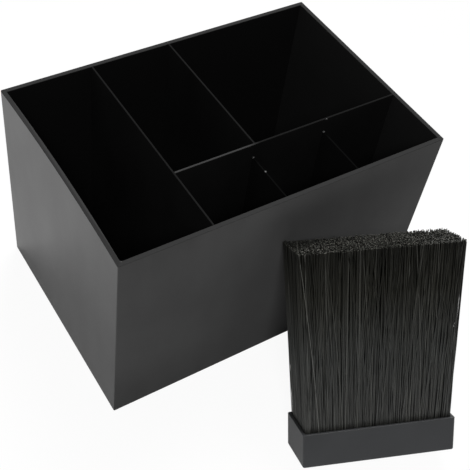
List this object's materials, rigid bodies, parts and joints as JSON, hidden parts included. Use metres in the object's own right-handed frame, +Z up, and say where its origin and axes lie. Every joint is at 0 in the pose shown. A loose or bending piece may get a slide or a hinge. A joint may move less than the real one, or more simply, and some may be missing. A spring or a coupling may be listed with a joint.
{
  "type": "salon tool organizer",
  "caption": "Open-top rectangular counter box with upright compartments for combs, shears and tools, and a lift-out bristle insert leaning on its front wall.",
  "frame": {"origin": "centre of the box's underside, on the surface that it stands on", "axes": "+Z up, +X to the right along the front wall, +Y from the front wall to the back wall"},
  "size_m": [0.23, 0.2924, 0.151],
  "materials": {
    "box_plastic": "satin black, frosted outside",
    "divider_plastic": "satin black",
    "tray_plastic": "satin dark grey",
    "bristles": "smooth black filament"
  },
  "bodies": {
    "box": {"front_wall": "box_plastic", "back_wall": "box_plastic", "left_wall": "box_plastic", "right_wall": "box_plastic", "base_panel": "box_plastic", "long_divider": "divider_plastic", "cross_divider": "divider_plastic", "rear_divider": "divider_plastic", "low_divider_left": "divider_plastic", "low_divider_right": "divider_plastic"},
    "insert": {"insert_tray": "tray_plastic", "bristle_block": "bristles"}
  },
  "joints": [
    {"name": "insert_lift", "type": "slide", "parent": "box", "child": "insert", "axis": [0, 0, 1], "range_m": [0, 0.16]}
  ]
}
